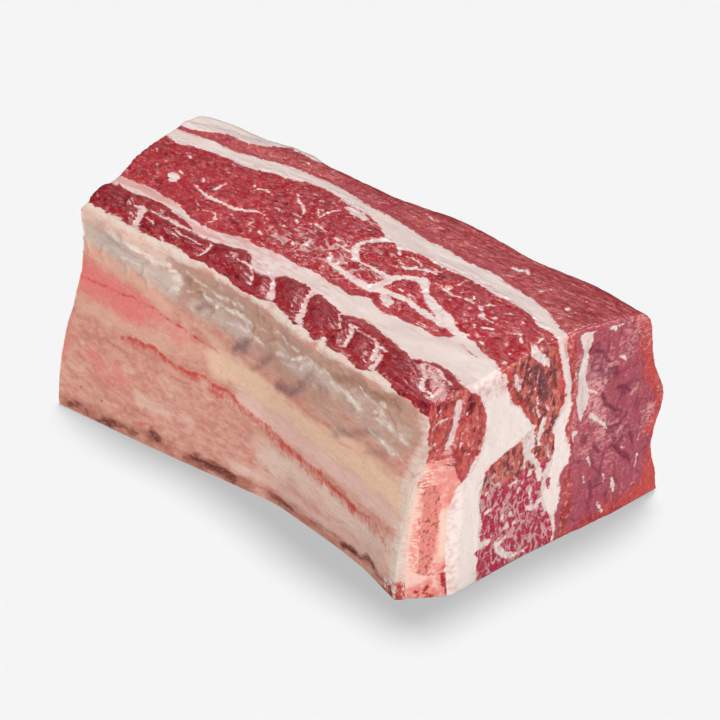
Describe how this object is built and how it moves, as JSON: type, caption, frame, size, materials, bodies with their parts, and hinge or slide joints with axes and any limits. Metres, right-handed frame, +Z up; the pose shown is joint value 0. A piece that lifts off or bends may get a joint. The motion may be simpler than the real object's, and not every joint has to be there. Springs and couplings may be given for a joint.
{
  "type": "raw beef short rib",
  "caption": "Raw beef short rib cut across the bone: rib, marbled muscles and seams of fat in layers, resting on its cut side.",
  "frame": {"origin": "centre of the footprint, on the knife-cut underside", "axes": "+X along the rib towards the near saw cut, +Y from the chest lining out to the back, +Z up"},
  "size_m": [0.1538, 0.0928, 0.0623],
  "materials": {
    "lining": "moist membrane over bone and fat",
    "bone": "saw-cut bone with a porous core",
    "trim": "moist trimmed meat and fat",
    "dark_muscle": "moist dark red muscle",
    "deep_fat": "soft white fat",
    "marbled_muscle": "moist red muscle marbled with fat",
    "seam_fat": "soft white fat",
    "outer_muscle": "moist mauve-red muscle",
    "cap_fat": "soft white fat"
  },
  "bodies": {
    "root": {"chest_lining": "lining", "rib_bone": "bone", "lower_trim": "trim", "rib_muscle": "dark_muscle", "deep_fat": "deep_fat", "inner_muscle": "marbled_muscle", "seam_fat": "seam_fat", "outer_muscle": "outer_muscle", "fat_cap": "cap_fat"}
  },
  "joints": []
}
